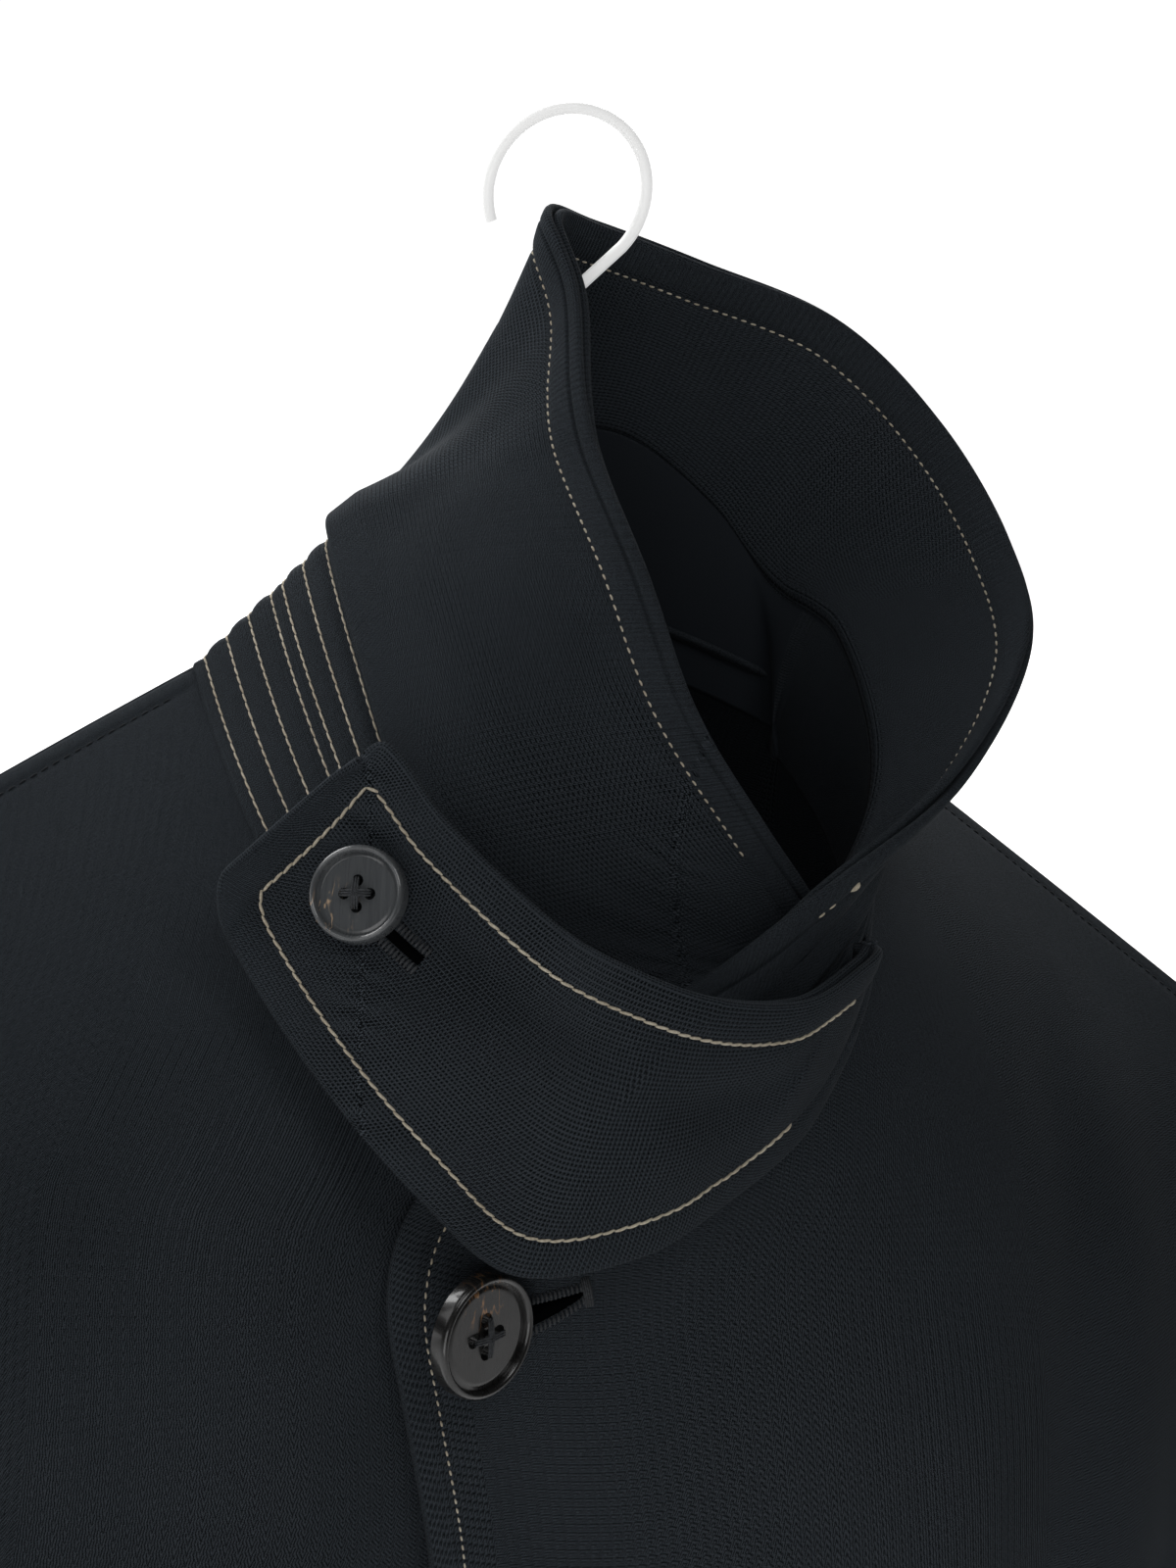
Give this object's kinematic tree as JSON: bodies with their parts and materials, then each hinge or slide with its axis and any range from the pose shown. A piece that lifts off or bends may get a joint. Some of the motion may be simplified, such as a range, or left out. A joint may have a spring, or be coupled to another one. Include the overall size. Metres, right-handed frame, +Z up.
{
  "type": "wool coat on a wire hanger",
  "caption": "Dark wool hip-length coat with a turned-up collar closed by a buttoned throat tab, hung on a plain wire hanger; hollow, open at neck, hem and cuffs.",
  "frame": {"origin": "inside of the top of the hanger's hook, where it rests on a rail", "axes": "+Z up, -Y the coat's front, +X the viewer's right (the wearer's left)"},
  "size_m": [0.714, 0.2088, 0.9955],
  "materials": {
    "wool_cloth": "fine dark blue-black wool weave, matt, cream topstitching",
    "horn_button": "dark streaked horn look, half gloss",
    "white_wire": "white coated steel wire, half gloss"
  },
  "bodies": {
    "root": {"front_left": "wool_cloth", "front_right": "wool_cloth", "back": "wool_cloth", "sleeve_left": "wool_cloth", "sleeve_right": "wool_cloth", "collar_stand": "wool_cloth", "collar_leaf": "wool_cloth", "throat_tab": "wool_cloth", "button_tab": "horn_button", "button_front_1": "horn_button", "button_front_2": "horn_button", "button_front_3": "horn_button", "button_front_4": "horn_button", "hanger_hook": "white_wire", "hanger_arm_left": "white_wire", "hanger_arm_right": "white_wire", "hanger_bar": "white_wire"}
  },
  "joints": []
}
